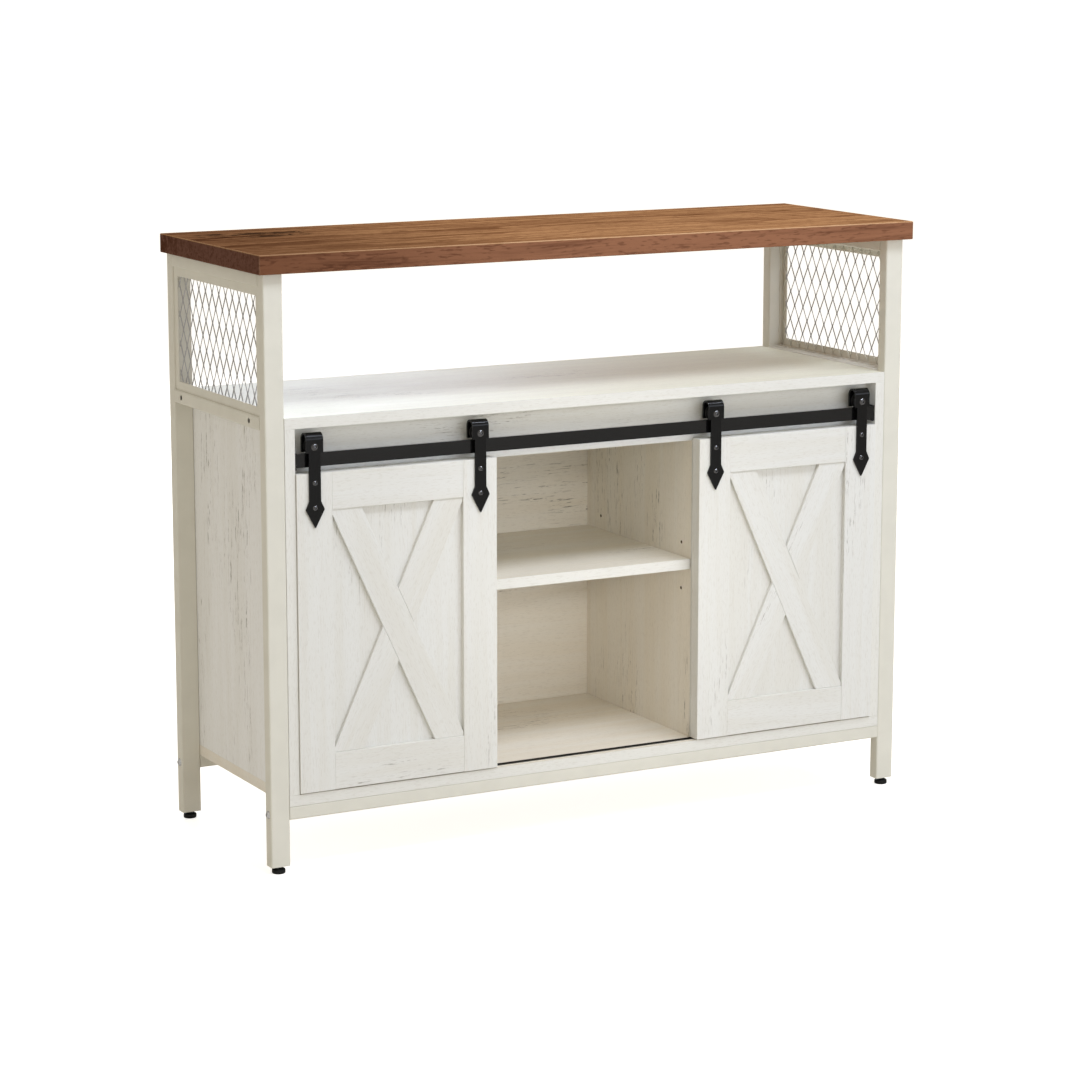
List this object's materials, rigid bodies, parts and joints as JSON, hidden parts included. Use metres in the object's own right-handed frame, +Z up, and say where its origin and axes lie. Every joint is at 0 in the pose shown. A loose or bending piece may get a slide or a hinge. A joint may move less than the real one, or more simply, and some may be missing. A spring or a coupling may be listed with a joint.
{
  "type": "sideboard buffet",
  "caption": "Farmhouse sideboard with a plank top on a white steel frame, an open compartment with mesh ends, and a three-bay cabinet behind sliding barn doors on an exposed rail.",
  "frame": {"origin": "on the floor under the middle of the top's outline", "axes": "+X along the width to the right as seen from the front, +Y towards the back, +Z up; the doors face -Y"},
  "size_m": [1.1, 0.37, 0.9],
  "materials": {
    "top_wood": "satin brown oak-look laminate",
    "white_wood": "matt whitewashed plank-look laminate",
    "door_wood": "matt whitewashed plank-look laminate",
    "frame_metal": "cream white powder coat",
    "black_steel": "satin black powder coat",
    "black_plastic": "moulded black",
    "zinc": "zinc plated",
    "dowel_wood": "plain beech"
  },
  "bodies": {
    "carcass": {"back_panel": "white_wood", "bottom_board": "white_wood", "deck": "white_wood", "door_rail": "black_steel", "door_rail_screws": "black_steel", "frame_bolts": "zinc", "frame_screws": "zinc", "front_bottom_rail": "frame_metal", "guide_channel": "black_plastic", "header_board": "white_wood", "leg_front_left": "frame_metal", "leg_front_right": "frame_metal", "leg_plugs": "black_plastic", "leg_rear_left": "frame_metal", "leg_rear_right": "frame_metal", "mesh_frame_left": "frame_metal", "mesh_frame_right": "frame_metal", "mesh_left": "frame_metal", "mesh_right": "frame_metal", "mid_rail_left": "frame_metal", "mid_rail_right": "frame_metal", "panel_dowels": "dowel_wood", "partition_left": "white_wood", "partition_right": "white_wood", "rear_bottom_rail": "frame_metal", "shelf_centre": "white_wood", "shelf_left": "white_wood", "shelf_pins": "zinc", "shelf_right": "white_wood", "side_panel_left": "white_wood", "side_panel_right": "white_wood", "tabletop": "top_wood", "top_rail_left": "frame_metal", "top_rail_right": "frame_metal"},
    "door_left": {"door_left_axles": "black_steel", "door_left_brace_long": "door_wood", "door_left_brace_short": "door_wood", "door_left_guides": "black_plastic", "door_left_hangers": "black_steel", "door_left_panel": "door_wood", "door_left_rails": "door_wood", "door_left_stiles": "door_wood", "door_left_strap_screws": "black_steel"},
    "roller_left_outer": {"roller_left_outer": "black_plastic"},
    "roller_left_inner": {"roller_left_inner": "black_plastic"},
    "door_right": {"door_right_axles": "black_steel", "door_right_brace_long": "door_wood", "door_right_brace_short": "door_wood", "door_right_guides": "black_plastic", "door_right_hangers": "black_steel", "door_right_panel": "door_wood", "door_right_rails": "door_wood", "door_right_stiles": "door_wood", "door_right_strap_screws": "black_steel"},
    "roller_right_outer": {"roller_right_outer": "black_plastic"},
    "roller_right_inner": {"roller_right_inner": "black_plastic"},
    "foot_front_left": {"levelling_foot_front_left": "black_plastic"},
    "foot_front_right": {"levelling_foot_front_right": "black_plastic"},
    "foot_rear_left": {"levelling_foot_rear_left": "black_plastic"},
    "foot_rear_right": {"levelling_foot_rear_right": "black_plastic"}
  },
  "joints": [
    {"name": "door_left_slide", "type": "slide", "parent": "carcass", "child": "door_left", "axis": [1, 0, 0], "range_m": [0, 0.173]},
    {"name": "door_right_slide", "type": "slide", "parent": "carcass", "child": "door_right", "axis": [-1, 0, 0], "range_m": [0, 0.173]},
    {"name": "roller_left_outer_spin", "type": "hinge", "parent": "door_left", "child": "roller_left_outer", "pos_m": [-0.466, -0.1685, 0.623], "axis": [0, 1, 0], "range_deg": [-1200, 1200]},
    {"name": "roller_left_inner_spin", "type": "hinge", "parent": "door_left", "child": "roller_left_inner", "pos_m": [-0.201, -0.1685, 0.623], "axis": [0, 1, 0], "range_deg": [-1200, 1200]},
    {"name": "roller_right_outer_spin", "type": "hinge", "parent": "door_right", "child": "roller_right_outer", "pos_m": [0.466, -0.1685, 0.623], "axis": [0, 1, 0], "range_deg": [-1200, 1200]},
    {"name": "roller_right_inner_spin", "type": "hinge", "parent": "door_right", "child": "roller_right_inner", "pos_m": [0.201, -0.1685, 0.623], "axis": [0, 1, 0], "range_deg": [-1200, 1200]},
    {"name": "foot_front_left_adjust", "type": "slide", "parent": "carcass", "child": "foot_front_left", "axis": [0, 0, -1], "range_m": [0, 0.008]},
    {"name": "foot_front_right_adjust", "type": "slide", "parent": "carcass", "child": "foot_front_right", "axis": [0, 0, -1], "range_m": [0, 0.008]},
    {"name": "foot_rear_left_adjust", "type": "slide", "parent": "carcass", "child": "foot_rear_left", "axis": [0, 0, -1], "range_m": [0, 0.008]},
    {"name": "foot_rear_right_adjust", "type": "slide", "parent": "carcass", "child": "foot_rear_right", "axis": [0, 0, -1], "range_m": [0, 0.008]}
  ],
  "couplings": [
    {"joint": "roller_left_outer_spin", "follows": "door_left_slide", "rad_per_m": 108.7},
    {"joint": "roller_left_inner_spin", "follows": "door_left_slide", "rad_per_m": 108.7},
    {"joint": "roller_right_outer_spin", "follows": "door_right_slide", "rad_per_m": -108.7},
    {"joint": "roller_right_inner_spin", "follows": "door_right_slide", "rad_per_m": -108.7}
  ]
}
